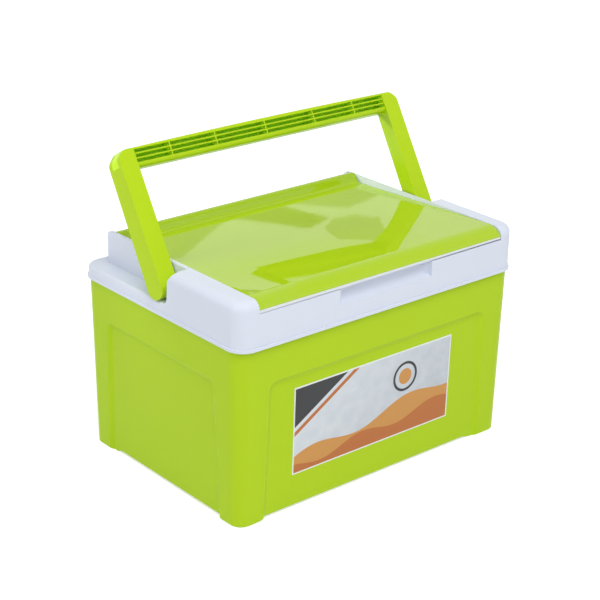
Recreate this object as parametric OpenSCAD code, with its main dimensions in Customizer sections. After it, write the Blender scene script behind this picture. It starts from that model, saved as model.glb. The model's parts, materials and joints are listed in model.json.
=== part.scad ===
// Insulated cooler box: a foamed tub, a hinged lid and a swinging carry handle.
// Millimetres. X runs along the front, +Y points to the hinge side, Z = 0 is the floor under the feet.

/* [Tub] */
// Length of the tub at its rim
body_l = 376.2; // [360:0.2:377]
// Depth of the tub at its rim
body_w = 263.2; // [256:0.2:266]
// Height of the tub's rim above the floor
body_h = 193; // [180:1:205]
// How far each side leans in from the rim to the floor
body_draft = 3.8; // [2:0.2:5]
// Radius of the upright corners at the floor
body_r = 14; // [11:0.5:16]
// Wall thickness of the moulded tub
wall = 2.6; // [2.2:0.1:3]
// Chamfer round the bottom edge of the feet
foot_edge = 1.4; // [0.8:0.1:2]
// Height of the feet under the raised floor
foot_h = 3.2; // [2:0.1:4]
// Length of the ramp at the inner end of a foot, on the long sides
foot_ramp = 11.5; // [6:0.5:16]
// Distance from the middle to the inner ends of the left feet
foot_left = 162; // [140:1:166]
// Distance from the middle to the inner ends of the right feet
foot_right = 144; // [140:1:166]
// Distance from the middle to the inner ends of the front feet
foot_front = 96.9; // [84:0.1:99]
// Distance from the middle to the inner ends of the rear feet
foot_rear = 87; // [84:0.1:99]

/* [Side panels] */
// Depth of the sunk panels
panel_d = 3.2; // [2:0.1:4]
// Width of the sloping border of a panel
panel_slope = 5; // [3:0.2:6]
// Corner radius at the top of a panel, on the outer face
panel_r = 9; // [8:0.5:14]
// Height of the top of a panel
panel_top = 152.5; // [140:0.5:160]
// Half width of the long panels at the top
panel_long_top = 148.4; // [140:0.2:150]
// Half width of the long panels at the floor
panel_long_low = 153; // [150:0.2:155]
// Half width of the short panels at the top
panel_short_top = 91.7; // [85:0.1:93]
// Half width of the short panels at the floor
panel_short_low = 98; // [94:0.2:99]

/* [Label] */
// Length of the sticker on the front panel
label_l = 217.6; // [150:0.2:240]
// Height of the sticker
label_h = 97.5; // [60:0.5:100]
// Height of the sticker's lower edge above the floor
label_low = 38; // [20:0.5:45]
// How far the sticker sits to the left of the middle
label_shift = 5.2; // [0:0.2:10]
// Thickness of the sticker
label_t = 0.3; // [0.2:0.1:0.5]

/* [Collar] */
// Length of the collar's wall
collar_l = 377; // [377:0.2:380]
// Depth of the collar's wall
collar_w = 267.8; // [267:0.2:270]
// Radius of the collar's upright corners
collar_r = 18; // [16:0.5:22]
// Height of the collar above the tub's rim
collar_h = 50.5; // [49:0.5:52]
// Rounding of the collar's outer top edge
collar_round = 10; // [6:0.5:12]
// How far the lip at the foot of the collar stands out
lip_out = 1.5; // [1:0.1:2]
// Height of that lip
lip_h = 3; // [2:0.2:4]
// Height of the deck under the lid, above the tub's rim
deck_h = 37; // [36:0.5:38]
// Half length of the bay that the lid lies in
bay_half = 164.4; // [163:0.1:165]
// Thickness of the wall between the lid and the handle's channel
rail_t = 2.6; // [2.3:0.1:2.8]
// Half width of the finger notch under the lid's front edge
notch_half = 62.5; // [40:0.5:70]
// Depth of the finger notch at its top
notch_d = 9.4; // [8.8:0.2:11]
// Rounding in the back corners of the finger notch
notch_r = 7.5; // [4:0.5:8]

/* [Inside] */
// Half length of the mouth
mouth_x = 158; // [150:0.5:158]
// Half depth of the mouth
mouth_y = 100; // [92:0.5:101]
// Corner radius of the mouth
mouth_r = 24; // [20:1:30]
// How far the liner narrows down to its floor
liner_draft = 6; // [4:0.5:9]
// Wall thickness of the liner
liner_t = 2; // [1.6:0.1:2.4]
// Height of the liner's inner floor
liner_floor = 27; // [20:1:36]

/* [Lid] */
// Thickness of the cover's walls
lid_t = 2.6; // [2:0.1:3]
// Height of the cover's top at the front edge, above the deck
lid_top = 13.6; // [12.6:0.1:14]
// Fall of the cover's top towards the hinge, in degrees
lid_fall = 2.4; // [1.5:0.05:2.5]
// Large radius of the rolled front edge
lid_roll = 24; // [22:0.5:25]
// Small radius of the rolled front edge
lid_nose = 6; // [5:0.2:6.4]
// Height of the lid's pale lower edge at the front
lid_edge = 3.5; // [3:0.1:4]
// Radius of the hinge barrel
barrel_r = 7; // [6.5:0.1:7]
// Radius of the hinge pins
pin_r = 3; // [2:0.1:3.5]
// Depth of the plug that drops into the mouth
plug_d = 14; // [8:1:20]

/* [Handle] */
// Width of the arms at the pivots, across their travel
arm_w = 22; // [20:0.1:22.6]
// Width of the arms at the grip
arm_w_top = 18.6; // [17:0.1:20]
// Thickness of the arms along X
arm_t = 20.4; // [18:0.1:20.6]
// How far the arms turn in towards the front, in degrees
arm_toe = 6.8; // [0:0.1:7]
// Distance from the pivots to the ends of the grip's top
handle_reach = 142.2; // [138:0.2:144]
// Rise of the grip's top in the middle
grip_crown = 1.5; // [0:0.1:2]
// Height of the grip bar
grip_h = 20.6; // [18:0.1:21]
// Chamfer on the outer corners of the bow
bow_chamfer = 9; // [6:0.5:12]
// Fillet in the inner corners of the bow
bow_fillet = 5; // [3:0.5:6]
// How far the handle leans back at rest, in degrees
lean = 30.36; // [0:0.01:60]
// Radius of the pivot studs
stud_r = 5; // [4:0.1:6]
// Length of the two middle cells in the grip's open face
cell_mid = 66.5; // [50:0.5:70]
// Length of the cells next to them
cell_next = 57.5; // [40:0.5:60]
// Rows of slots across the grip's open face
grip_rows = 3; // [2:1:3]
// Height of a slot
slot_h = 3.6; // [3:0.1:3.8]
// Thickness of the ribs between the slots
rib_t = 1.4; // [1:0.1:1.6]
// Depth of the slots
slot_d = 12; // [8:0.5:14]

/* [Hidden] */
$fn = 96;
eps = 0.01;
big = 400;

lime = "#b4d92e";
lime_dark = "#9fc52b";
white = "#e6e9f1";
foam_tint = "#f1ead2";
steel = "#b9bdc2";
sticker = "#c9cdd3";

body_x = body_l / 2 - body_draft;
body_y = body_w / 2 - body_draft;
tub_pts = half_rect(body_x - body_r, body_y - body_r);
tub_floor = foot_h + wall;
lean_side = atan(body_draft / body_h);
foot_step = 0.8;

collar_x = collar_l / 2;
collar_y = collar_w / 2;
collar_pts = half_rect(collar_x - collar_r, collar_y - collar_r);
collar_top = body_h + collar_h;
deck = body_h + deck_h;
skin = 2.5;
tongue_h = 6;
tongue_low = body_h - tongue_h;
tongue_gap = 0.5;
tongue_t = 2.3;
tongue_x = body_l / 2 - wall - tongue_gap;
tongue_y = body_w / 2 - wall - tongue_gap;
tongue_r = body_r + body_draft - wall - tongue_gap;
tongue_pts = half_rect(tongue_x - tongue_r, tongue_y - tongue_r);
rail_x = bay_half + rail_t;
rail_r = 3;
rail_round = 2.4;
ledge_round = 3.5;

gap = 0.6;
pivot_y = 0.3;
ledge_h = 14;
ledge = body_h + ledge_h;
pivot_z = ledge + arm_w / 2 + gap;
pocket_y = -17.3;
pocket_round = 7;
pocket_lean = 1.3;
pocket_break = 233;
stop_slope = 1.4;

bay_back = 111.4;
rail_back = 118.5;
rail_start = 40;
rail_end_r = 10;
back_wall_top = 236;
back_wall_half = bay_half - 1.3;
notch_low = ledge + 7.3;
notch_lip = ledge + 6.5;
reach_out = 10;

lid_gap = 0.3;
hinge_y = 102.3;
hinge_z = deck + lid_gap + barrel_r;
pin_play = 0.05;
pin_len = 14.1;
pin_in_rail = 1.5;
pin_end = 0.2;
lid_x = bay_half - lid_gap;
lid_low = deck + lid_gap;
edge_rear = 1.5;
lid_front = -collar_y;
lid_rear = 98;
foam_rear = 70;
roll_start = -114;
roll_z = deck + lid_top;
nose_back = 0.8;
nose_up = 1.4;
plug_gap = 1.5;
plug_taper = 2;
plug_back = 92;
plug_r = mouth_r - plug_gap;

// Large and small centres of the lid's rolled edge, tangent to the falling top and to each other
roll_c = [roll_start - lid_roll * sin(lid_fall), roll_z - lid_roll * cos(lid_fall)];
nose_y = lid_front + lid_nose;
nose_c = [nose_y, roll_c.y + sqrt(pow(lid_roll - lid_nose, 2) - pow(nose_y - roll_c.x, 2))];
roll_dir = (nose_c - roll_c) / (lid_roll - lid_nose);
function top_at(y) = roll_z - (y - roll_start) * tan(lid_fall);

// Height of the joint between the cover and the lid's pale lower half
edge_k = (lid_edge - edge_rear) / (lid_rear - lid_front);
function joint_at(y) = lid_low + lid_edge - (y - lid_front) * edge_k;

arm_gap = 2.5;
arm_x = rail_x + arm_gap;
bow_x = arm_x + arm_t;
toe_k = tan(arm_toe);
grip_low = handle_reach - grip_h;
grip_front = -8.2;
grip_back = 9.2;
grip_round = 5;
grip_round_back = 3;
fillet_front = -3;
fillet_back = 6;
crown_steps = 8;
stud_head_r = 8;
stud_head_t = 2;
stud_in_arm = 13.8;
stud_end = 0.6;
stud_play = 0.05;
grip_land = 1.8;
cell_end = arm_x - 0.6;
cell_far = cell_mid + cell_next;
cell_walls = [-cell_end, -cell_far, -cell_mid, 0, cell_mid, cell_far, cell_end];

function half_rect(x, y) = [[-x, -y], [x, -y], [x, y], [-x, y]];
function tub_r(z) = body_r + body_draft * z / body_h;

// Solid on a convex outline of corner centres: the profile turns round each corner and runs along each side
module moulded(pts, z0, z1) {
    n = len(pts);
    translate([0, 0, z0])
        linear_extrude(z1 - z0) polygon(pts);
    for (i = [0 : n - 1]) {
        a = pts[i];
        b = pts[(i + 1) % n];
        d = b - a;
        translate([a.x, a.y, 0])
            rotate_extrude() children();
        translate([b.x, b.y, 0])
            rotate([0, 0, atan2(d.y, d.x)])
                rotate([90, 0, -90])
                    linear_extrude(norm(d)) children();
    }
}

// Upright profile of width r from z0 to z1, its outer top edge rounded by e
module round_top(r, z0, z1, e) {
    difference() {
        translate([0, z0]) square([r, z1 - z0]);
        difference() {
            translate([r - e, z1 - e]) square(2 * e);
            translate([r - e, z1 - e]) circle(e);
        }
    }
}

// Profile in the YZ plane run along X between two stations
module along_x(x0, x1) {
    translate([x0, 0, 0])
        rotate([90, 0, 90])
            linear_extrude(x1 - x0) children();
}

// Copy on the left and on the right
module both_sides() {
    children();
    mirror([1, 0, 0]) children();
}

// Sunk panel with sloping borders, open to the floor, on the side that faces -Y at distance d
module panel(d, half_top, half_low) {
    below = 22;
    over = 3;
    r_in = panel_r - panel_slope;
    r_out = r_in + panel_slope * (panel_d + over) / panel_d;
    low_x = half_low + (half_low - half_top) * below / panel_top;
    translate([0, -d, 0])
        rotate([90 + lean_side, 0, 0])
            translate([0, 0, -panel_d])
                hull()
                    both_sides() {
                        translate([half_top - panel_r, panel_top - panel_r, 0])
                            cylinder(h = panel_d + over, r1 = r_in, r2 = r_out, $fn = 32);
                        translate([low_x - panel_r, -below, 0])
                            cylinder(h = panel_d + over, r1 = r_in, r2 = r_out, $fn = 32);
                    }
}

// Step in the tub's inside behind a sunk panel
module panel_step(d, half) {
    translate([0, -d, 0])
        rotate([90 + lean_side, 0, 0])
            translate([-half - wall, -big / 2, -panel_d - wall])
                cube([2 * (half + wall), big / 2 + panel_top + wall, big]);
}

// The four sunk panels
module panels() {
    for (a = [0, 180])
        rotate([0, 0, a]) panel(body_y, panel_long_top, panel_long_low);
    for (a = [90, 270])
        rotate([0, 0, a]) panel(body_x, panel_short_top, panel_short_low);
}

// Space under the tub between its four feet
module floor_clearance() {
    rotate([90, 0, 0])
        linear_extrude(2 * big, center = true)
            polygon([[-foot_left, -1], [-foot_left, 0], [-foot_left + foot_ramp, foot_h],
                     [foot_right - foot_ramp, foot_h], [foot_right, 0], [foot_right, -1]]);
    along_x(-big, big)
        polygon([[-foot_front, -1], [-foot_front, 0], [-foot_front + foot_step, foot_h],
                 [foot_rear - 2 * foot_h, foot_h], [foot_rear, 0], [foot_rear, -1]]);
}

// Inside of the tub, from its floor up to height top
module tub_hollow(top) {
    difference() {
        moulded(tub_pts, tub_floor, top)
            polygon([[0, tub_floor], [tub_r(tub_floor) - wall, tub_floor],
                     [tub_r(top) - wall, top], [0, top]]);
        for (a = [0, 180])
            rotate([0, 0, a]) panel_step(body_y, panel_long_low);
        for (a = [90, 270])
            rotate([0, 0, a]) panel_step(body_x, panel_short_low);
    }
}

module outer_shell() {
    color(lime)
        difference() {
            moulded(tub_pts, 0, body_h)
                polygon([[0, 0], [tub_r(0) - foot_edge, 0], [tub_r(foot_edge), foot_edge],
                         [tub_r(body_h), body_h], [0, body_h]]);
            panels();
            floor_clearance();
            tub_hollow(body_h + eps);
        }
}

// Sticker on the floor of the front panel
module front_label() {
    color(sticker)
        translate([0, -body_y, 0])
            rotate([90 + lean_side, 0, 0])
                translate([-label_l / 2 - label_shift, label_low, -panel_d])
                    cube([label_l, label_h, label_t]);
}

// Liner's outline at height z, grown by g, as a profile width
function liner_r(z, g) = mouth_r - liner_draft * (deck - z) / (deck - liner_floor) + g;
mouth_pts = half_rect(mouth_x - mouth_r, mouth_y - mouth_r);

// Tapered body of the liner, grown by g, from height z0 to z1
module liner_form(g, z0, z1) {
    moulded(mouth_pts, z0, z1)
        polygon([[0, z0], [liner_r(z0, g), z0], [liner_r(z1, g), z1], [0, z1]]);
}

liner_top = deck - skin;
flange_w = 3;
flange_t = 2;

module liner_outside() {
    liner_form(liner_t, liner_floor - liner_t, liner_top);
    moulded(mouth_pts, liner_top - flange_t, liner_top)
        translate([0, liner_top - flange_t]) square([mouth_r + flange_w, flange_t]);
}

module inner_liner() {
    color(white)
        difference() {
            liner_outside();
            liner_form(0, liner_floor, liner_top + eps);
        }
}

// Handle's channel and pockets: the stop wall with its rounded foot, and the open ledge
module channel() {
    foot = [pocket_y + pocket_round, ledge + pocket_round];
    along_x(-big, big) {
        translate(foot) circle(pocket_round);
        polygon([[foot.x, ledge - ledge_round - eps], [big, ledge - ledge_round - eps], [big, big],
                 [pocket_y - pocket_lean - big, pocket_break + big * stop_slope],
                 [pocket_y - pocket_lean, pocket_break],
                 [pocket_y, foot.y], foot]);
    }
}

// Raised box round the lid's bay
module rail_block() {
    x = rail_x - rail_r;
    y0 = -collar_y + rail_start;
    y1 = rail_back - rail_r;
    moulded([[-x, y0], [x, y0], [x, y1], [-x, y1]], body_h + lip_h, collar_top)
        round_top(rail_r, body_h + lip_h, collar_top, rail_round);
}

// Scooped finger notch: a side profile met by a plan, both rounded at the back
module notch() {
    front = -collar_y - reach_out;
    c = [-collar_y + notch_d - notch_r, notch_low + notch_r];
    x = notch_half - notch_r;
    intersection() {
        along_x(-notch_half, notch_half) {
            translate(c) circle(notch_r);
            polygon([[front, notch_lip], [c.x, notch_low], c, [c.x + notch_r, c.y],
                     [c.x + notch_r, deck + eps], [front, deck + eps]]);
        }
        translate([0, 0, notch_lip - 1])
            linear_extrude(deck - notch_lip + 2) {
                both_sides() translate([x, c.x]) circle(notch_r);
                polygon([[-notch_half, front], [notch_half, front], [notch_half, c.x], [x, c.x],
                         [x, c.x + notch_r], [-x, c.x + notch_r], [-x, c.x], [-notch_half, c.x]]);
            }
    }
}

// Space that the foam fills inside the collar
module collar_hollow(low) {
    top = deck - skin;
    ledge_top = ledge - skin;
    inner = collar_r - skin;
    front = collar_y - skin;
    block_back = pocket_y - pocket_lean - skin;
    block_in = 4;
    block_rear = -33;
    block_top = collar_top - skin - 1;
    difference() {
        union() {
            moulded(collar_pts, body_h + lip_h, ledge_top)
                translate([0, body_h + lip_h]) square([inner, ledge_top - body_h - lip_h]);
            translate([-bay_half, -front, body_h + lip_h])
                cube([2 * bay_half, front + bay_back, top - body_h - lip_h]);
            intersection() {
                moulded(collar_pts, body_h + lip_h, top)
                    translate([0, body_h + lip_h]) square([inner, top - body_h - lip_h]);
                translate([-big, -big, 0]) cube([2 * big, big + block_back, big]);
            }
            both_sides()
                translate([rail_x, -collar_y + collar_r, ledge])
                    cube([collar_x - rail_x - skin - block_in, collar_y - collar_r + block_rear,
                          block_top - ledge]);
        }
        translate([-notch_half - skin, -collar_y, ledge - skin])
            cube([2 * (notch_half + skin), notch_d + skin, big]);
    }
    moulded(tongue_pts, low, body_h + lip_h)
        translate([0, low]) square([tongue_r - tongue_t, body_h + lip_h - low]);
}

module rim_collar() {
    color(white)
        difference() {
            union() {
                moulded(collar_pts, body_h, body_h + lip_h)
                    translate([0, body_h]) square([collar_r + lip_out, lip_h]);
                moulded(collar_pts, body_h, ledge)
                    round_top(collar_r, body_h, ledge, ledge_round);
                difference() {
                    moulded(collar_pts, body_h, collar_top)
                        round_top(collar_r, body_h, collar_top, collar_round);
                    channel();
                }
                rail_block();
                moulded(tongue_pts, tongue_low, body_h)
                    translate([0, tongue_low]) square([tongue_r, body_h - tongue_low]);
            }
            collar_hollow(tongue_low - 1);
            translate([-bay_half, -big, deck])
                cube([2 * bay_half, big + bay_back, big]);
            translate([-back_wall_half, hinge_y, back_wall_top])
                cube([2 * back_wall_half, big, big]);
            along_x(-rail_x - eps, rail_x + eps)
                translate([rail_back - rail_end_r, collar_top - rail_end_r])
                    difference() {
                        square(rail_end_r + 1);
                        circle(rail_end_r);
                    }
            moulded(mouth_pts, deck - skin - eps, deck + eps)
                translate([0, deck - skin - eps]) square([mouth_r, skin + 2 * eps]);
            notch();
            both_sides() {
                translate([bay_half - eps, pivot_y, pivot_z])
                    rotate([0, 90, 0]) cylinder(h = rail_t + 2 * eps, r = stud_r);
                translate([bay_half - eps, hinge_y, hinge_z])
                    rotate([0, 90, 0]) cylinder(h = pin_in_rail + pin_end, r = pin_r + pin_play);
            }
        }
}

// Foam poured between the tub, the liner and the collar
module foam_tub() {
    color(foam_tint)
        difference() {
            union() {
                tub_hollow(tongue_low);
                collar_hollow(tongue_low);
            }
            liner_outside();
            liner_form(0, liner_floor, deck + eps);
            both_sides()
                translate([bay_half - stud_head_t, pivot_y, pivot_z])
                    rotate([0, 90, 0]) cylinder(h = stud_head_t + eps, r = stud_head_r);
        }
}

// Space above the joint between the cover and the lid's pale lower half, as a side profile
module above_joint() {
    polygon([[-big, joint_at(-big)], [big, joint_at(big)], [big, big], [-big, big]]);
}

// Side profile of the lid's cover: falling top, rolled front edge, flat underside
module cover_profile() {
    far = 60;
    up = [sin(lid_fall), cos(lid_fall)];
    mid = (up + roll_dir) / norm(up + roll_dir);
    intersection() {
        above_joint();
        union() {
            polygon([roll_c + lid_roll * up, [lid_rear, top_at(lid_rear)], [lid_rear, lid_low],
                     [nose_y, lid_low], nose_c + lid_nose * roll_dir]);
            intersection() {
                translate(roll_c) circle(lid_roll, $fn = 180);
                polygon([roll_c, roll_c + far * roll_dir, roll_c + far * mid, roll_c + far * up]);
            }
            translate(nose_c) circle(lid_nose);
        }
    }
}

// Foam space under the cover's skin
module cover_hollow() {
    nose_in = lid_front + lid_t + nose_back;
    along_x(-lid_x + lid_t, lid_x - lid_t)
        polygon([[nose_in, joint_at(nose_in) - eps], [nose_in, joint_at(nose_in) + nose_up],
                 [roll_start, top_at(roll_start) - lid_t], [foam_rear, top_at(foam_rear) - lid_t],
                 [foam_rear, joint_at(foam_rear) - eps]]);
}

module lid_cover() {
    color(lime)
        difference() {
            union() {
                along_x(-lid_x, lid_x) cover_profile();
                translate([-lid_x, hinge_y, hinge_z])
                    rotate([0, 90, 0]) cylinder(h = 2 * lid_x, r = barrel_r);
            }
            cover_hollow();
            both_sides()
                translate([lid_x - pin_len + pin_in_rail, hinge_y, hinge_z])
                    rotate([0, 90, 0]) cylinder(h = pin_len, r = pin_r);
        }
}

// Tapered plug of the lid, grown by g
module plug(g, z0, z1) {
    x = mouth_x - mouth_r;
    y0 = -(mouth_y - mouth_r);
    y1 = plug_back - plug_r;
    r0 = plug_r - plug_taper + g;
    moulded([[-x, y0], [x, y0], [x, y1], [-x, y1]], z0, z1)
        polygon([[0, z0], [r0, z0], [plug_r + g, z1], [0, z1]]);
}

module lid_liner() {
    low = lid_low - plug_d;
    front = lid_front + lid_gap;
    color(white)
        difference() {
            union() {
                along_x(-lid_x, lid_x)
                    polygon([[front, lid_low], [lid_rear, lid_low],
                             [lid_rear, joint_at(lid_rear)], [front, joint_at(front)]]);
                plug(0, low, lid_low + eps);
            }
            plug(-liner_t, low + liner_t, lid_low + lid_edge + eps);
        }
}

module lid_foam() {
    low = lid_low - plug_d + liner_t;
    color(foam_tint) {
        intersection() {
            cover_hollow();
            along_x(-lid_x, lid_x) above_joint();
        }
        difference() {
            plug(-liner_t, low, lid_low + lid_edge + eps);
            along_x(-lid_x, lid_x) above_joint();
        }
    }
}

module hinge_pin(s) {
    color(steel)
        mirror([s < 0 ? 1 : 0, 0, 0])
            translate([lid_x - pin_len + pin_in_rail, hinge_y, hinge_z])
                rotate([0, 90, 0]) cylinder(h = pin_len, r = pin_r);
}

module lid_hinge_pin_left() {
    hinge_pin(-1);
}

module lid_hinge_pin_right() {
    hinge_pin(1);
}

// Slots and ribs moulded into the open face of the grip
module grip_slots() {
    for (row = [0 : grip_rows - 1])
        for (c = [0 : len(cell_walls) - 2])
            translate([cell_walls[c] + rib_t / 2, grip_front - eps,
                       handle_reach - grip_land - slot_h - row * (slot_h + rib_t)])
                cube([cell_walls[c + 1] - cell_walls[c] - rib_t, slot_d + eps, slot_h]);
}

// Right arm: a section that turns in towards the front, tapered upwards, round at the pivot
module arm() {
    w = arm_w / 2 + 1;
    shift = w * toe_k;
    difference() {
        intersection() {
            translate([0, 0, -w])
                linear_extrude(handle_reach + w)
                    polygon([[arm_x - shift, -w], [bow_x - shift, -w],
                             [bow_x + shift, w], [arm_x + shift, w]]);
            along_x(arm_x - w, bow_x + w) {
                circle(arm_w / 2);
                polygon([[-arm_w / 2, 0], [arm_w / 2, 0],
                         [arm_w_top / 2, handle_reach], [-arm_w_top / 2, handle_reach]]);
            }
        }
        rotate([90, 0, 0])
            linear_extrude(2 * w, center = true)
                polygon([[bow_x - bow_chamfer - 1, handle_reach + 1], [bow_x + bow_chamfer, handle_reach + 1],
                         [bow_x + bow_chamfer, handle_reach - 2 * bow_chamfer]]);
    }
}

// Fillet between the right arm and the grip, set along the arm's turned face
module corner_fillet() {
    translate([arm_x, 0, grip_low])
        rotate([0, 0, -arm_toe])
            translate([0, fillet_back, 0])
                rotate([90, 0, 0])
                    linear_extrude(fillet_back - fillet_front)
                        difference() {
                            translate([-bow_fillet, -bow_fillet]) square(bow_fillet + 1);
                            translate([-bow_fillet, -bow_fillet]) circle(bow_fillet);
                        }
}

// Grip bar with a crowned top and rounded lower edges
module grip() {
    end = arm_x + bow_chamfer;
    intersection() {
        along_x(-end, end)
            difference() {
                translate([grip_front, grip_low])
                    square([grip_back - grip_front, grip_h + grip_crown]);
                difference() {
                    translate([grip_front - eps, grip_low - eps]) square(grip_round + eps);
                    translate([grip_front + grip_round, grip_low + grip_round]) circle(grip_round);
                }
                difference() {
                    translate([grip_back - grip_round_back, grip_low - eps]) square(grip_round_back + eps);
                    translate([grip_back - grip_round_back, grip_low + grip_round_back])
                        circle(grip_round_back);
                }
            }
        rotate([90, 0, 0])
            linear_extrude(2 * arm_w, center = true)
                polygon(concat([[-end, grip_low - 1], [end, grip_low - 1]],
                               [for (i = [crown_steps : -1 : -crown_steps])
                                   let (t = i / crown_steps)
                                       [t * end, handle_reach + grip_crown * (1 - t * t)]]));
    }
}

module carry_handle() {
    color(lime_dark)
        translate([0, pivot_y, pivot_z])
            rotate([-lean, 0, 0])
                difference() {
                    union() {
                        grip();
                        both_sides() {
                            arm();
                            corner_fillet();
                        }
                    }
                    grip_slots();
                    both_sides()
                        translate([arm_x - arm_gap, 0, 0])
                            rotate([0, 90, 0])
                                cylinder(h = arm_gap + stud_in_arm + stud_end, r = stud_r + stud_play);
                }
}

// Headed stud that sits in the rail and carries one arm of the handle
module pivot_stud(s) {
    color(white)
        mirror([s < 0 ? 1 : 0, 0, 0])
            translate([0, pivot_y, pivot_z])
                rotate([0, 90, 0]) {
                    translate([0, 0, bay_half - stud_head_t]) cylinder(h = stud_head_t, r = stud_head_r);
                    translate([0, 0, bay_half - stud_head_t])
                        cylinder(h = arm_x + stud_in_arm - bay_half + stud_head_t, r = stud_r);
                }
}

module handle_pivot_left() {
    pivot_stud(-1);
}

module handle_pivot_right() {
    pivot_stud(1);
}

outer_shell();
foam_tub();
inner_liner();
rim_collar();
front_label();
lid_cover();
lid_foam();
lid_liner();
lid_hinge_pin_left();
lid_hinge_pin_right();
carry_handle();
handle_pivot_left();
handle_pivot_right();
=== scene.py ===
import bpy
import json
import math
from mathutils import Matrix, Vector

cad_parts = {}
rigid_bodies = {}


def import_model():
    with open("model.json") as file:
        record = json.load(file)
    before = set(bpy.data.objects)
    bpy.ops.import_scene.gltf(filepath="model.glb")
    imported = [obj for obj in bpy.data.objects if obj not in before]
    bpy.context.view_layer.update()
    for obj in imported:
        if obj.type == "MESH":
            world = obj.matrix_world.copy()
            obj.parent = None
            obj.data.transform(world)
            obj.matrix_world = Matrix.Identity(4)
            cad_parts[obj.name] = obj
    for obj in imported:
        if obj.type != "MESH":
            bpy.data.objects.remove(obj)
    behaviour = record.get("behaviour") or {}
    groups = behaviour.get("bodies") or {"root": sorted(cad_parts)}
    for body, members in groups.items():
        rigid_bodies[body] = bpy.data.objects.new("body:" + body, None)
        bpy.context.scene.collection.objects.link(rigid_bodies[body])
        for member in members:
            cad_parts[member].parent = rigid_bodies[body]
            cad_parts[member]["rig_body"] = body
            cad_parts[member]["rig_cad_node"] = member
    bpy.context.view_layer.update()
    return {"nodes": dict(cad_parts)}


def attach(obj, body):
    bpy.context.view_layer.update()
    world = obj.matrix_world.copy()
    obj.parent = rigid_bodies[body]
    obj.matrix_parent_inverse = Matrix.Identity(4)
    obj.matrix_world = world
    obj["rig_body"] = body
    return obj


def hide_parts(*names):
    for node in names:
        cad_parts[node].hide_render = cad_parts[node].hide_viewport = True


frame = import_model()
nodes = frame["nodes"]
print("frame loaded:", len(nodes), "nodes")


# camera, fitted to the photo's edges
cameraSpec = {
    "place": (-1.0789, -1.2599, 0.8454),
    "yaw": 40.57,      # degrees from +Y towards +X
    "pitch": 22.47,    # looking down
    "roll": 1.05,
    "lens": 100.22,    # mm
    "sensor": 36.0,    # mm
    "picture": 600,    # pixels along each side of the photo
}


def addCamera(spec):
    yaw, pitch, roll = (math.radians(spec[k]) for k in ("yaw", "pitch", "roll"))
    look = Vector((math.sin(yaw) * math.cos(pitch), math.cos(yaw) * math.cos(pitch), -math.sin(pitch)))
    side = Vector((math.cos(yaw), -math.sin(yaw), 0))
    up = side.cross(look)
    tiltedSide = side * math.cos(roll) + up * math.sin(roll)
    tiltedUp = up * math.cos(roll) - side * math.sin(roll)
    bpy.ops.object.camera_add()
    camera = bpy.context.object
    camera.name = "photoCamera"
    camera.data.lens = spec["lens"]
    camera.data.sensor_width = spec["sensor"]
    camera.data.clip_start = 0.01
    turn = Matrix((tiltedSide, tiltedUp, -look)).transposed()
    camera.matrix_world = Matrix.Translation(spec["place"]) @ turn.to_4x4()
    bpy.context.scene.camera = camera


bpy.ops.object.select_all(action="DESELECT")
addCamera(cameraSpec)
bpy.context.scene.view_settings.view_transform = "Standard"
print("camera set")


# node helpers
def addNode(tree, kind, x, y, **values):
    made = tree.nodes.new(kind)
    made.location = (x, y)
    for name, value in values.items():
        setattr(made, name, value)
    return made


def join(tree, source, target):
    tree.links.new(source, target)


def feed(tree, target, value):
    if isinstance(value, (int, float)):
        target.default_value = value
    elif isinstance(value, tuple):
        target.default_value = (*value, 1) if len(value) == 3 and target.type == "RGBA" else value
    else:
        join(tree, value, target)


def calc(tree, operation, *values, clamp=False):
    made = addNode(tree, "ShaderNodeMath", 40 * len(tree.nodes), -300, operation=operation, use_clamp=clamp)
    for socket, value in zip(made.inputs, values):
        feed(tree, socket, value)
    return made.outputs["Value"]


def noise(tree, where, scale, detail, rough=0.5):
    made = addNode(tree, "ShaderNodeTexNoise", 40 * len(tree.nodes), 300)
    join(tree, where, made.inputs["Vector"])
    feed(tree, made.inputs["Scale"], scale)
    feed(tree, made.inputs["Detail"], detail)
    feed(tree, made.inputs["Roughness"], rough)
    return made.outputs["Fac"]


def ramp(tree, value, fromLow, fromHigh, toLow=0.0, toHigh=1.0):
    made = addNode(tree, "ShaderNodeMapRange", 40 * len(tree.nodes), 0)
    for name, number in (("Value", value), ("From Min", fromLow), ("From Max", fromHigh),
                         ("To Min", toLow), ("To Max", toHigh)):
        feed(tree, made.inputs[name], number)
    return made.outputs["Result"]


def blend(tree, factor, first, second):
    made = addNode(tree, "ShaderNodeMix", 40 * len(tree.nodes), 600, data_type="RGBA")
    feed(tree, made.inputs["Factor"], factor)
    feed(tree, made.inputs["A"], first)
    feed(tree, made.inputs["B"], second)
    return made.outputs["Result"]


def stretched(tree, where, turn, scale):
    made = addNode(tree, "ShaderNodeMapping", 40 * len(tree.nodes), -600)
    join(tree, where, made.inputs["Vector"])
    made.inputs["Rotation"].default_value = turn
    made.inputs["Scale"].default_value = scale
    return made.outputs["Vector"]


def newGroup(name, inputs, outputs):
    group = bpy.data.node_groups.new(name, "ShaderNodeTree")
    for title, kind, start in inputs:
        made = group.interface.new_socket(name=title, in_out="INPUT", socket_type=kind)
        made.default_value = start
    for title, kind in outputs:
        group.interface.new_socket(name=title, in_out="OUTPUT", socket_type=kind)
    into = addNode(group, "NodeGroupInput", -300, 0)
    out = addNode(group, "NodeGroupOutput", 2400, 0)
    where = addNode(group, "ShaderNodeTexCoord", -300, -400).outputs["Object"]
    return group, into.outputs, out.inputs, where


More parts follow.
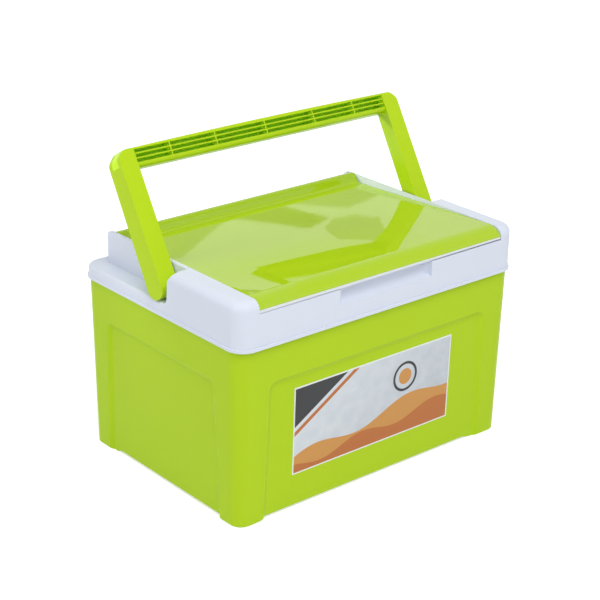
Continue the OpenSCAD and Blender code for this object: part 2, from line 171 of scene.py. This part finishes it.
def newMaterial(name):
    made = bpy.data.materials.new(name)
    made.use_nodes = True
    tree = made.node_tree
    tree.nodes.clear()
    shader = addNode(tree, "ShaderNodeBsdfPrincipled", 500, 0)
    output = addNode(tree, "ShaderNodeOutputMaterial", 800, 0)
    join(tree, shader.outputs["BSDF"], output.inputs["Surface"])
    return made, tree, shader


def addBump(tree, shader, height, distance):
    bump = addNode(tree, "ShaderNodeBump", 250, -250)
    bump.inputs["Distance"].default_value = distance
    bump.inputs["Strength"].default_value = 1
    join(tree, height, bump.inputs["Height"])
    join(tree, bump.outputs["Normal"], shader.inputs["Normal"])


# moulded plastic: slow drift of the colour, sink waves, fine grain and faint scuffs, all in metres
skinPattern = {
    "drift": (11, 3), "smear": (55, 5, 0.65), "grainDetail": 2,    # noise scale, detail, roughness
    "smearRange": (0.3, 0.7),
    "hairTurn": (0.5, 0.3, 0.7), "hairScale": (30, 1100, 900), "hair": (1, 2), "hairRange": (0.62, 0.72),
    "patch": (18, 2), "patchRange": (0.52, 0.72),    # scuffs come in patches
    "scuffColour": (0.9, 0.93, 0.85), "scuffShare": 0.05, "scuffRough": 0.25,
}


def makeMouldedSkin(spec):
    group, given, out, where = newGroup(
        "mouldedSkin",
        (("Colour", "NodeSocketColor", (0.8, 0.8, 0.8, 1)),
         ("Drift Colour", "NodeSocketColor", (0.7, 0.7, 0.7, 1)),
         ("Low Roughness", "NodeSocketFloat", 0.2), ("High Roughness", "NodeSocketFloat", 0.35),
         ("Grain Scale", "NodeSocketFloat", 1400.0), ("Grain", "NodeSocketFloat", 0.25),
         ("Waves", "NodeSocketFloat", 0.5), ("Scuffs", "NodeSocketFloat", 0.3)),
        (("Colour", "NodeSocketColor"), ("Roughness", "NodeSocketFloat"), ("Height", "NodeSocketFloat")),
    )
    drift = noise(group, where, *spec["drift"])
    smear = noise(group, where, *spec["smear"])
    grain = noise(group, where, given["Grain Scale"], spec["grainDetail"])
    hair = noise(group, stretched(group, where, spec["hairTurn"], spec["hairScale"]), *spec["hair"])
    patch = ramp(group, noise(group, where, *spec["patch"]), *spec["patchRange"])
    scuff = calc(group, "MULTIPLY", ramp(group, hair, *spec["hairRange"]), patch)
    scuff = calc(group, "MULTIPLY", scuff, given["Scuffs"])
    tint = blend(group, drift, given["Colour"], given["Drift Colour"])
    pale = blend(group, calc(group, "MULTIPLY", scuff, spec["scuffShare"]), tint, spec["scuffColour"])
    join(group, pale, out["Colour"])
    rough = ramp(group, smear, *spec["smearRange"], given["Low Roughness"], given["High Roughness"])
    join(group, calc(group, "MULTIPLY_ADD", scuff, spec["scuffRough"], rough, clamp=True), out["Roughness"])
    wave = calc(group, "MULTIPLY", drift, given["Waves"])
    join(group, calc(group, "MULTIPLY_ADD", grain, given["Grain"], wave), out["Height"])
    return group


mouldedSkin = makeMouldedSkin(skinPattern)


# what the lid mirrors bends as on a lid that bows down towards the front, more so on the left
def crowned(tree, spec, relief):
    split = addNode(tree, "ShaderNodeSeparateXYZ", -700, -500)
    join(tree, addNode(tree, "ShaderNodeTexCoord", -900, -500).outputs["Object"], split.inputs["Vector"])
    forward = calc(tree, "MULTIPLY", split.outputs["Y"], -1.0)
    start, end = spec["bend"]
    bent = ramp(tree, forward, start, end)
    past = calc(tree, "MAXIMUM", calc(tree, "SUBTRACT", forward, end), 0.0)
    eased = calc(tree, "MULTIPLY_ADD", calc(tree, "MULTIPLY", past, past), -spec["ease"] / 2, past)
    drop = calc(tree, "MULTIPLY_ADD", calc(tree, "MULTIPLY", bent, bent), (end - start) / 2, eased)
    bow = calc(tree, "MULTIPLY_ADD", split.outputs["X"], spec["twist"], spec["bow"])
    bow = calc(tree, "MAXIMUM", bow, spec["least"])
    bow = calc(tree, "MULTIPLY", bow, ramp(tree, split.outputs["X"], *spec["leftEnd"]))
    return calc(tree, "MULTIPLY", drop, calc(tree, "MULTIPLY", bow, -1 / relief))


# painted light: the inside of the grip's slots is painted a brighter green, standing in for light that comes
# through the thin ribs
def paintedSlotLight(tree, colour, spec):
    split = addNode(tree, "ShaderNodeSeparateXYZ", -700, 500)
    join(tree, addNode(tree, "ShaderNodeTexCoord", -900, 500).outputs["Object"], split.inputs["Vector"])
    lean = math.radians(spec["lean"])
    back = calc(tree, "SUBTRACT", split.outputs["Y"], spec["pivot"][0])
    up = calc(tree, "SUBTRACT", split.outputs["Z"], spec["pivot"][1])
    reach = calc(tree, "MULTIPLY_ADD", back, math.sin(lean), calc(tree, "MULTIPLY", up, math.cos(lean)))
    depth = calc(tree, "MULTIPLY_ADD", back, math.cos(lean), calc(tree, "MULTIPLY", up, -math.sin(lean)))
    inside = ramp(tree, depth, *spec["fadeIn"])
    inside = calc(tree, "MULTIPLY", inside, calc(tree, "LESS_THAN", depth, spec["floor"]))
    inside = calc(tree, "MULTIPLY", inside, calc(tree, "GREATER_THAN", reach, spec["low"]))
    inside = calc(tree, "MULTIPLY", inside, calc(tree, "LESS_THAN", reach, spec["high"]))
    return blend(tree, inside, colour, spec["lit"])


def plastic(name, spec):
    made, tree, shader = newMaterial(name)
    skin = addNode(tree, "ShaderNodeGroup", 0, 0, node_tree=mouldedSkin)
    for socket, key in (
        ("Colour", "colour"), ("Drift Colour", "drift"),
        ("Low Roughness", "smooth"), ("High Roughness", "dull"),
        ("Grain Scale", "grainScale"), ("Grain", "grain"), ("Waves", "waves"), ("Scuffs", "scuffs"),
    ):
        feed(tree, skin.inputs[socket], spec[key])
    colour = skin.outputs["Colour"]
    # painted light in the grip's slots
    if "slots" in spec:
        colour = paintedSlotLight(tree, colour, spec["slots"])
    join(tree, colour, shader.inputs["Base Color"])
    join(tree, skin.outputs["Roughness"], shader.inputs["Roughness"])
    height = skin.outputs["Height"]
    if "crown" in spec:
        height = calc(tree, "ADD", height, crowned(tree, spec["crown"], spec["relief"]))
    addBump(tree, shader, height, spec["relief"])
    shader.inputs["IOR"].default_value = spec["ior"]
    shader.inputs["Specular IOR Level"].default_value = spec["gloss"]
    return made


tubFinish = {
    "colour": (0.468, 0.672, 0.020), "drift": (0.454, 0.656, 0.018),
    "smooth": 0.29, "dull": 0.38, "grainScale": 1600.0, "grain": 0.05, "waves": 1.0, "scuffs": 0.3,
    "relief": 0.0004, "ior": 1.46, "gloss": 0.1,
}
lidFinish = {
    "colour": (0.435, 0.630, 0.014), "drift": (0.422, 0.614, 0.012),
    "smooth": 0.02, "dull": 0.035, "grainScale": 900.0, "grain": 0.0, "waves": 0.12, "scuffs": 0.1,
    "relief": 0.0004, "ior": 1.5, "gloss": 0.5,
    "crown": {
        "bow": 0.053, "twist": -0.4, "least": 0.02, "bend": (0.015, 0.07), "ease": 11.0,
        "leftEnd": (-0.16, -0.11, 0.3, 1.0),
    },
}
# the grip's slots lie between two distances from the pivot, along the leaning arms
gripSlots = {
    "pivot": (0.0003, 0.2186), "lean": 30.36, "low": 0.1255, "high": 0.1415, "half": 0.1695,
    "fadeIn": (-0.0077, -0.0042), "floor": 0.0042,    # across the arms, from the open face to the slots' end
    # painted light: the brighter green painted inside the slots
    "lit": (0.620, 0.950, 0.030),
}
handleFinish = {
    "colour": (0.485, 0.695, 0.010), "drift": (0.468, 0.676, 0.008),
    "smooth": 0.29, "dull": 0.36, "grainScale": 1600.0, "grain": 0.04, "waves": 0.7, "scuffs": 0.4,
    "relief": 0.0004, "ior": 1.46, "gloss": 0.25, "slots": gripSlots,
}
collarFinish = {
    "colour": (0.720, 0.765, 0.880), "drift": (0.706, 0.750, 0.865),
    "smooth": 0.29, "dull": 0.37, "grainScale": 1800.0, "grain": 0.04, "waves": 0.7, "scuffs": 0.0,
    "relief": 0.0004, "ior": 1.46, "gloss": 0.35,
}
linerFinish = {
    "colour": (0.760, 0.785, 0.840), "drift": (0.744, 0.768, 0.826),
    "smooth": 0.29, "dull": 0.36, "grainScale": 1500.0, "grain": 0.03, "waves": 1.0, "scuffs": 0.5,
    "relief": 0.0004, "ior": 1.46, "gloss": 0.4,
}
limeTub = plastic("limeTub", tubFinish)
limeLid = plastic("limeLid", lidFinish)
limeHandle = plastic("limeHandle", handleFinish)
whiteCollar = plastic("whiteCollar", collarFinish)
whiteLiner = plastic("whiteLiner", linerFinish)


# sticker: grey field, rising orange waves, a dark corner and a ringed disc
# in millimetres from its lower left corner
stickerPrint = {
    "left": -114.0, "low": 38.0, "length": 217.6, "height": 97.4, "border": 1.5, "soft": 1 / 6,
    "pale": (0.640, 0.685, 0.760), "shade": (0.470, 0.510, 0.585), "rim": (0.800, 0.825, 0.860),
    "slant": -1.1, "fade": (-60.0, 190.0), "mottle": (70, 4), "mottleRange": (0.35, 0.75, 0.0, 0.35),
    "waves": (    # height at the left, rise, swell, turn for each millimetre, start of the turn
        {"ink": "farWave", "low": 17.0, "rise": 0.14, "swell": 6.5, "turn": 0.048, "start": 0.4},
        {"ink": "nearWave", "low": 8.0, "rise": 0.085, "swell": 5.0, "turn": 0.061, "start": 2.3},
    ),
    "nearWave": (0.480, 0.135, 0.018), "farWave": (0.600, 0.270, 0.055), "dark": (0.016, 0.017, 0.022),
    "disc": (152.0, 67.0, 9.0), "ring": (14.0, 17.0),
    "diagonal": -0.62, "corner": 52.0, "stripe": (42.0, 47.0),    # heights over the rising diagonal
    "film": (240, 3), "filmRough": (0.3, 0.7, 0.29, 0.4), "filmGrain": 0.06, "ripple": (26, 2),
    "relief": 0.0003, "ior": 1.46,
}


def inked(tree, distance, soft):
    return calc(tree, "MULTIPLY_ADD", distance, 1 / soft, 0.5, clamp=True)


def between(tree, value, low, high):
    return calc(tree, "MINIMUM", calc(tree, "SUBTRACT", value, low), calc(tree, "SUBTRACT", high, value))


def makeSticker(spec):
    made, tree, shader = newMaterial("printedSticker")
    where = addNode(tree, "ShaderNodeTexCoord", -900, 0).outputs["Object"]
    split = addNode(tree, "ShaderNodeSeparateXYZ", -700, 0)
    join(tree, where, split.inputs["Vector"])
    across = calc(tree, "MULTIPLY_ADD", split.outputs["X"], 1000.0, -spec["left"])    # metres to millimetres
    above = calc(tree, "MULTIPLY_ADD", split.outputs["Z"], 1000.0, -spec["low"])

    slant = calc(tree, "MULTIPLY_ADD", above, spec["slant"], across)
    colour = blend(tree, ramp(tree, slant, *spec["fade"]), spec["pale"], spec["shade"])
    mottle = noise(tree, where, *spec["mottle"])
    colour = blend(tree, ramp(tree, mottle, *spec["mottleRange"]), colour, spec["rim"])

    for wave in spec["waves"]:
        sway = calc(tree, "SINE", calc(tree, "MULTIPLY_ADD", across, wave["turn"], wave["start"]))
        crest = calc(tree, "MULTIPLY_ADD", across, wave["rise"], wave["low"])
        crest = calc(tree, "MULTIPLY_ADD", sway, wave["swell"], crest)
        under = calc(tree, "SUBTRACT", crest, above)
        colour = blend(tree, inked(tree, under, spec["soft"]), colour, spec[wave["ink"]])

    discX, discZ, discR = spec["disc"]
    fromX = calc(tree, "SUBTRACT", across, discX)
    fromZ = calc(tree, "SUBTRACT", above, discZ)
    reach = calc(tree, "SQRT", calc(tree, "ADD", calc(tree, "MULTIPLY", fromX, fromX),
                                    calc(tree, "MULTIPLY", fromZ, fromZ)))
    disc = calc(tree, "SUBTRACT", discR, reach)
    colour = blend(tree, inked(tree, disc, spec["soft"]), colour, spec["farWave"])
    ring = between(tree, reach, *spec["ring"])
    colour = blend(tree, inked(tree, ring, spec["soft"]), colour, spec["dark"])

    diagonal = calc(tree, "MULTIPLY_ADD", across, spec["diagonal"], above)
    corner = calc(tree, "SUBTRACT", diagonal, spec["corner"])
    colour = blend(tree, inked(tree, corner, spec["soft"]), colour, spec["dark"])
    stripe = between(tree, diagonal, *spec["stripe"])
    colour = blend(tree, inked(tree, stripe, spec["soft"]), colour, spec["nearWave"])

    sides = between(tree, across, 0.0, spec["length"])
    ends = between(tree, above, 0.0, spec["height"])
    rim = calc(tree, "SUBTRACT", spec["border"], calc(tree, "MINIMUM", sides, ends))
    colour = blend(tree, inked(tree, rim, spec["soft"]), colour, spec["rim"])
    join(tree, colour, shader.inputs["Base Color"])

    film = noise(tree, where, *spec["film"])
    join(tree, ramp(tree, film, *spec["filmRough"]), shader.inputs["Roughness"])
    ripple = noise(tree, where, *spec["ripple"])    # film not quite flat on the wall
    addBump(tree, shader, calc(tree, "MULTIPLY_ADD", film, spec["filmGrain"], ripple), spec["relief"])
    shader.inputs["IOR"].default_value = spec["ior"]
    return made


printedSticker = makeSticker(stickerPrint)


# rigid foam: small closed cells, the hollow of each cell painted in the darker shade colour (painted shade)
foamFinish = {
    "colour": (0.850, 0.780, 0.580), "shade": (0.700, 0.610, 0.400), "cells": 950.0, "cellRange": (0.0, 0.7),
    "cloud": (40, 4), "cloudRange": (0.4, 0.7, 0.0, 0.4), "roughRange": (0.3, 0.7, 0.82, 0.95),
    "relief": 0.0004,
}


def makeFoam(spec):
    made, tree, shader = newMaterial("cellFoam")
    where = addNode(tree, "ShaderNodeTexCoord", -900, 0).outputs["Object"]
    cells = addNode(tree, "ShaderNodeTexVoronoi", -600, 0)
    join(tree, where, cells.inputs["Vector"])
    cells.inputs["Scale"].default_value = spec["cells"]
    depth = ramp(tree, cells.outputs["Distance"], *spec["cellRange"])
    cloud = noise(tree, where, *spec["cloud"])
    # painted shade: darker towards each cell's sunken middle
    colour = blend(tree, depth, spec["shade"], spec["colour"])
    colour = blend(tree, ramp(tree, cloud, *spec["cloudRange"]), colour, spec["colour"])
    join(tree, colour, shader.inputs["Base Color"])
    join(tree, ramp(tree, cloud, *spec["roughRange"]), shader.inputs["Roughness"])
    addBump(tree, shader, depth, spec["relief"])
    return made


# steel pins: drawn along their length
pinFinish = {
    "colour": (0.560, 0.570, 0.590), "shade": (0.430, 0.440, 0.460),
    "turn": (0, 0, 0), "stretch": (60, 6000, 6000), "lines": (1, 3), "roughRange": (0.3, 0.7, 0.29, 0.42),
    "relief": 0.00002,
}


def makeSteel(spec):
    made, tree, shader = newMaterial("drawnSteel")
    where = addNode(tree, "ShaderNodeTexCoord", -900, 0).outputs["Object"]
    lines = noise(tree, stretched(tree, where, spec["turn"], spec["stretch"]), *spec["lines"])
    join(tree, blend(tree, lines, spec["colour"], spec["shade"]), shader.inputs["Base Color"])
    join(tree, ramp(tree, lines, *spec["roughRange"]), shader.inputs["Roughness"])
    addBump(tree, shader, lines, spec["relief"])
    shader.inputs["Metallic"].default_value = 1
    return made


cellFoam = makeFoam(foamFinish)
drawnSteel = makeSteel(pinFinish)
print("materials made")

keptNodes = {
    "front_label": printedSticker, "foam_tub": cellFoam, "lid_foam": cellFoam, "inner_liner": whiteLiner,
    "handle_pivot_left": whiteCollar, "handle_pivot_right": whiteCollar,
    "lid_hinge_pin_left": drawnSteel, "lid_hinge_pin_right": drawnSteel,
}
for nodeName, material in keptNodes.items():
    nodes[nodeName].data.materials.clear()
    nodes[nodeName].data.materials.append(material)


# a CAD solid with its moulded edges softened, one pass for each kind of edge
mergeGap = 2e-6
nearlyParallel = 0.8    # cosine between an edge and the wanted direction


def startPiece(nodeName, pieceName, flat):
    bpy.ops.object.select_all(action="DESELECT")
    source = nodes[nodeName]
    source.select_set(True)
    bpy.context.view_layer.objects.active = source
    bpy.ops.object.duplicate()
    piece = bpy.context.object
    piece.name = pieceName
    piece.data.name = pieceName
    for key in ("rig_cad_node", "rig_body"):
        del piece[key]
    piece.parent = None
    bpy.ops.object.mode_set(mode="EDIT")
    bpy.ops.mesh.select_all(action="SELECT")
    bpy.ops.mesh.remove_doubles(threshold=mergeGap)
    bpy.ops.mesh.customdata_custom_splitnormals_clear()
    bpy.ops.mesh.select_all(action="SELECT")
    bpy.ops.mesh.dissolve_limited(angle_limit=math.radians(flat))
    bpy.ops.object.mode_set(mode="OBJECT")
    return piece


def roundEdges(piece, edge):
    bpy.ops.object.mode_set(mode="EDIT")
    bpy.ops.mesh.select_mode(type="EDGE")
    bpy.ops.mesh.select_all(action="DESELECT")
    bpy.ops.mesh.edges_select_sharp(sharpness=math.radians(edge["angle"]))
    bpy.ops.object.mode_set(mode="OBJECT")
    mesh = piece.data
    picked = []
    for line in mesh.edges:
        ends = [mesh.vertices[i].co for i in line.vertices]
        along = (ends[1] - ends[0]).normalized()
        if "along" in edge and abs(along.dot(Vector(edge["along"]))) < nearlyParallel:
            continue
        if line.select and edge["where"]((ends[0] + ends[1]) / 2):
            picked.append(line.index)
    for items in (mesh.vertices, mesh.edges, mesh.polygons):
        items.foreach_set("select", [False] * len(items))
    for index in picked:
        mesh.edges[index].select = True
        for corner in mesh.edges[index].vertices:
            mesh.vertices[corner].select = True
    bpy.ops.object.mode_set(mode="EDIT")
    bpy.ops.mesh.bevel(offset=edge["width"], segments=edge["steps"], profile=0.5, clamp_overlap=True)
    bpy.ops.object.mode_set(mode="OBJECT")
    return len(picked)


def softened(nodeName, body, spec, material):
    piece = startPiece(nodeName, spec["name"], spec["flat"])
    counts = [roundEdges(piece, edge) for edge in spec["edges"]]
    bpy.ops.object.shade_smooth_by_angle(angle=math.radians(spec["smooth"]))
    bpy.ops.object.modifier_add(type="WEIGHTED_NORMAL")    # flat faces shade flat between their soft edges
    piece.modifiers[-1].keep_sharp = True
    bpy.ops.object.modifier_apply(modifier=piece.modifiers[-1].name)
    piece.data.materials.clear()
    piece.data.materials.append(material)
    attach(piece, body)
    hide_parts(nodeName)
    print(spec["name"], len(piece.data.polygons), "faces, edges rounded:", counts)
    return piece


def anywhere(point):
    return True


panelSpan = {"foot": 0.012, "rim": 0.185}    # the feet and the rim keep a tighter edge than the panels


def onPanels(point):
    return panelSpan["foot"] < point.z < panelSpan["rim"]


def offPanels(point):
    return not onPanels(point)


tubSpec = {
    "name": "tubShell", "slot": "shell_lime", "flat": 0.4, "smooth": 40,
    "edges": [
        {"angle": 12, "width": 0.0018, "steps": 4, "where": onPanels},
        {"angle": 25, "width": 0.0008, "steps": 3, "where": offPanels},
    ],
}
softened("outer_shell", "base", tubSpec, limeTub)

collarSpec = {
    "name": "collar", "slot": "collar_white", "flat": 0.4, "smooth": 40,
    "edges": [{"angle": 28, "width": 0.0006, "steps": 3, "where": anywhere}],
}
softened("rim_collar", "base", collarSpec, whiteCollar)

lidSpec = {
    "name": "lidCover", "slot": "lid_lime", "flat": 0.4, "smooth": 40,
    "edges": [{"angle": 28, "width": 0.0008, "steps": 3, "where": anywhere}],
}
softened("lid_cover", "lid", lidSpec, limeLid)

# the corner between the lid's top and its barrel is filled to a soft hollow
hollowSpec = {
    "barrel": (0.1023, 0.2373), "barrelR": 0.007, "top": (-0.114, 0.2436), "fall": 2.4,
    "radius": 0.006, "half": 0.1641, "steps": 12, "smooth": 30,
    "into": 0.003, "above": 0.001, "below": 0.0008,    # how far its back lies inside the lid and the barrel
}


def addHollow(spec):
    fall = math.radians(spec["fall"])
    along, out = Vector((math.cos(fall), -math.sin(fall))), Vector((math.sin(fall), math.cos(fall)))
    barrel = Vector(spec["barrel"])
    lift = (barrel - Vector(spec["top"])).dot(out)
    radius, span = spec["radius"], spec["radius"] + spec["barrelR"]
    back = math.sqrt(span ** 2 - (radius - lift) ** 2)
    centre = barrel - along * back + out * (radius - lift)
    first, last = -out, (barrel - centre).normalized()
    turn = first.angle_signed(last)
    profile = []
    for step in range(spec["steps"] + 1):
        angle = -turn * step / spec["steps"]
        profile.append(centre + radius * Vector((first.x * math.cos(angle) - first.y * math.sin(angle),
                                                 first.x * math.sin(angle) + first.y * math.cos(angle))))
    inner = barrel - along * spec["into"]
    profile += [inner + out * spec["above"], inner - out * (lift + spec["below"])]
    profile.append(profile[0] - out * spec["below"])
    bpy.ops.mesh.primitive_circle_add(vertices=len(profile), fill_type="NGON")
    piece = bpy.context.object
    piece.name = piece.data.name = "hingeHollow"
    for corner, point in zip(piece.data.vertices, profile):
        corner.co = (-spec["half"], point.x, point.y)
    bpy.ops.object.mode_set(mode="EDIT")
    bpy.ops.mesh.select_all(action="SELECT")
    bpy.ops.mesh.extrude_region_move(TRANSFORM_OT_translate={"value": (2 * spec["half"], 0, 0)})
    bpy.ops.mesh.select_all(action="SELECT")
    bpy.ops.mesh.normals_make_consistent(inside=False)
    bpy.ops.object.mode_set(mode="OBJECT")
    bpy.ops.object.shade_smooth_by_angle(angle=math.radians(spec["smooth"]))
    piece.data.materials.append(limeLid)
    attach(piece, "lid")


addHollow(hollowSpec)

linerSpec = {
    "name": "lidLiner", "slot": "liner_white", "flat": 0.4, "smooth": 40,
    "edges": [{"angle": 28, "width": 0.0005, "steps": 3, "where": anywhere}],
}
strip = softened("lid_liner", "lid", linerSpec, whiteLiner)

# shadow gap under the strip's right end
gapSpec = {"front": -0.125, "low": 0.2315, "from": 0.045, "to": 0.164, "lift": 0.0011}
for corner in strip.data.vertices:
    if corner.co.y < gapSpec["front"] and corner.co.z < gapSpec["low"] and corner.co.x > gapSpec["from"]:
        corner.co.z += gapSpec["lift"] * (corner.co.x - gapSpec["from"]) / (gapSpec["to"] - gapSpec["from"])


gripLean = math.radians(gripSlots["lean"])
elbows = {"x": 0.174, "reach": 0.126}


def reachOf(point):
    pivotY, pivotZ = gripSlots["pivot"]
    return (point.y - pivotY) * math.sin(gripLean) + (point.z - pivotZ) * math.cos(gripLean)


def atSlots(point):
    return gripSlots["low"] < reachOf(point) < gripSlots["high"] and abs(point.x) < gripSlots["half"]


def atElbows(point):
    return abs(point.x) > elbows["x"] and reachOf(point) > elbows["reach"]


def offSlots(point):
    return not atSlots(point)


handleSpec = {
    "name": "handle", "slot": "handle_lime", "flat": 0.05, "smooth": 40,
    "edges": [
        {"angle": 28, "width": 0.0003, "steps": 2, "where": atSlots},
        {"angle": 28, "width": 0.0035, "steps": 5, "where": atElbows,
         "along": (0, math.cos(gripLean), -math.sin(gripLean))},
        {"angle": 28, "width": 0.0019, "steps": 4, "where": offSlots},
    ],
}
softened("carry_handle", "handle", handleSpec, limeHandle)


# plain pale floor, white to the camera and in reflections, and soft light
stageSpec = {
    "floor": 30.0, "floorColour": 0.92, "floorRough": 0.9, "glow": 0.5,
    "world": 0.47, "worldColour": (0.97, 0.99, 1.04), "ceiling": 0.45, "ceilingRange": (0.5, 0.85),
}


def seenDirectly(tree):
    rays = addNode(tree, "ShaderNodeLightPath", -600, 0)
    seen = calc(tree, "MAXIMUM", rays.outputs["Is Camera Ray"], rays.outputs["Is Glossy Ray"])
    return calc(tree, "MAXIMUM", seen, rays.outputs["Is Transmission Ray"])


def addStage(spec):
    bpy.ops.mesh.primitive_plane_add(size=spec["floor"], location=(0, 0, 0))
    floor = bpy.context.object
    floor.name = "floor"
    made, tree, shader = newMaterial("paleFloor")
    shader.inputs["Base Color"].default_value = (spec["floorColour"],) * 3 + (1,)
    shader.inputs["Roughness"].default_value = spec["floorRough"]
    shader.inputs["Specular IOR Level"].default_value = 0.0
    shader.inputs["Emission Color"].default_value = (1, 1, 1, 1)
    join(tree, calc(tree, "MULTIPLY", seenDirectly(tree), spec["glow"]), shader.inputs["Emission Strength"])
    floor.data.materials.append(made)

    world = bpy.data.worlds.new("studio")
    world.use_nodes = True
    bpy.context.scene.world = world
    tree = world.node_tree
    tree.nodes.clear()
    seen = seenDirectly(tree)
    heading = addNode(tree, "ShaderNodeSeparateXYZ", -400, -300)
    join(tree, addNode(tree, "ShaderNodeTexCoord", -600, -300).outputs["Generated"], heading.inputs["Vector"])
    height = heading.outputs["Z"]    # only mirrors look so high
    white = ramp(tree, height, *spec["ceilingRange"], 1.0, spec["ceiling"])
    background = addNode(tree, "ShaderNodeBackground", 600, 0)
    join(tree, blend(tree, seen, spec["worldColour"], (1.0, 1.0, 1.0)), background.inputs["Color"])
    join(tree, ramp(tree, seen, 0.0, 1.0, spec["world"], white), background.inputs["Strength"])
    output = addNode(tree, "ShaderNodeOutputWorld", 800, 0)
    join(tree, background.outputs["Background"], output.inputs["Surface"])


addStage(stageSpec)

lampSpecs = {
    "frontLamp": {"place": (-0.45, -1.3, 2.2), "size": 1.6, "power": 37.0},
    "leftLamp": {"place": (-1.3, 0.7, 1.2), "size": 0.8, "power": 5.0},
}
lampAim = (0, 0, 0.18)
lampTint = (1.0, 0.99, 0.93)


def lightAt(name, kind, place, aim, power):
    turn = (Vector(aim) - Vector(place)).to_track_quat("-Z", "Y").to_euler()
    bpy.ops.object.light_add(type=kind, location=place, rotation=turn)
    lamp = bpy.context.object
    lamp.name = name
    lamp.data.energy = power
    lamp.visible_glossy = False    # the lid mirrors the pale room, not the lamps
    return lamp


def addLamp(name, spec):
    lamp = lightAt(name, "AREA", spec["place"], lampAim, spec["power"])
    lamp.data.size = spec["size"]
    lamp.data.color = lampTint


for lampName, lampSpec in lampSpecs.items():
    addLamp(lampName, lampSpec)

# narrow lights: past the left arm onto the inner sides at the right, and onto the ledge at the left
spotSpecs = {
    "sideSpot": {
        "place": (-1.0, 0.5, 0.5), "aim": (0.17, 0.05, 0.27),
        "power": 20.0, "cone": 12.0, "soft": 0.6, "size": 0.05,
    },
    "ledgeSpot": {
        "place": (-0.85, 0.35, 1.2), "aim": (-0.182, 0.045, 0.21),
        "power": 8.0, "cone": 6.0, "soft": 1.0, "size": 0.03,
    },
}


def addSpot(name, spec):
    lamp = lightAt(name, "SPOT", spec["place"], spec["aim"], spec["power"])
    lamp.data.spot_size = math.radians(spec["cone"])
    lamp.data.spot_blend = spec["soft"]
    lamp.data.shadow_soft_size = spec["size"]


for spotName, spotSpec in spotSpecs.items():
    addSpot(spotName, spotSpec)

# grey cards that only the lid mirrors, set where the camera's rays leave its top
# each outline is in pixels of the picture, where the card shows in the lid
mirrorSpec = {"point": (0.0, -0.114, 0.2436), "fall": 2.4, "reach": 2.4}
cardSpecs = {
    "darkCard": {"outline": ((228, 218.5), (274, 204), (330, 218.5), (310, 229)), "grey": 0.25},
    "blobCard": {
        "outline": ((325, 228), (333, 219), (355, 215), (380, 217), (380, 240), (362, 246), (336, 241)),
        "grey": 0.5,
    },
    "leftCard": {
        "outline": ((158, 236), (168, 224), (260, 196), (258, 206),
                    (232, 216), (206, 238), (182, 258), (166, 262)),
        "grey": 0.45,
    },
    "rearCard": {"outline": ((276, 203), (300, 186), (357, 168), (396, 188), (348, 208)), "grey": 0.45},
}


def mirroredRay(spec, x, y):
    camera = bpy.context.scene.camera
    half = cameraSpec["picture"] / 2
    scale = cameraSpec["sensor"] / cameraSpec["lens"] / cameraSpec["picture"]
    ray = camera.matrix_world.to_3x3() @ Vector(((x - half) * scale, (half - y) * scale, -1)).normalized()
    eye = camera.matrix_world.translation
    fall = math.radians(spec["fall"])
    normal = Vector((0, math.sin(fall), math.cos(fall)))
    point = eye + ray * (normal.dot(Vector(spec["point"]) - eye) / normal.dot(ray))
    crown = lidFinish["crown"]
    start, end = crown["bend"]
    bent = min(max((-point.y - start) / (end - start), 0), 1)
    normal.y -= bent * max(crown["bow"] + crown["twist"] * point.x, crown["least"])    # the lid's crown
    return point, ray.reflect(normal.normalized())


def addCard(name, spec):
    rays = [mirroredRay(mirrorSpec, x, y) for x, y in spec["outline"]]
    middle = sum((ray for _, ray in rays), Vector()).normalized()
    centre = sum((point for point, _ in rays), Vector()) / len(rays) + middle * mirrorSpec["reach"]
    bpy.ops.mesh.primitive_circle_add(vertices=len(rays), fill_type="NGON")
    card = bpy.context.object
    card.name = name
    for corner, (point, ray) in zip(card.data.vertices, rays):
        corner.co = point + ray * (middle.dot(centre - point) / middle.dot(ray))
    made, tree, shader = newMaterial(name)
    shader.inputs["Base Color"].default_value = (0, 0, 0, 1)
    shader.inputs["Specular IOR Level"].default_value = 0
    shader.inputs["Emission Color"].default_value = (spec["grey"],) * 3 + (1,)
    shader.inputs["Emission Strength"].default_value = 1
    card.data.materials.append(made)
    for kind in ("camera", "diffuse", "transmission", "volume_scatter", "shadow"):
        setattr(card, "visible_" + kind, False)


for cardName, cardSpec in cardSpecs.items():
    addCard(cardName, cardSpec)
print("stage lit")
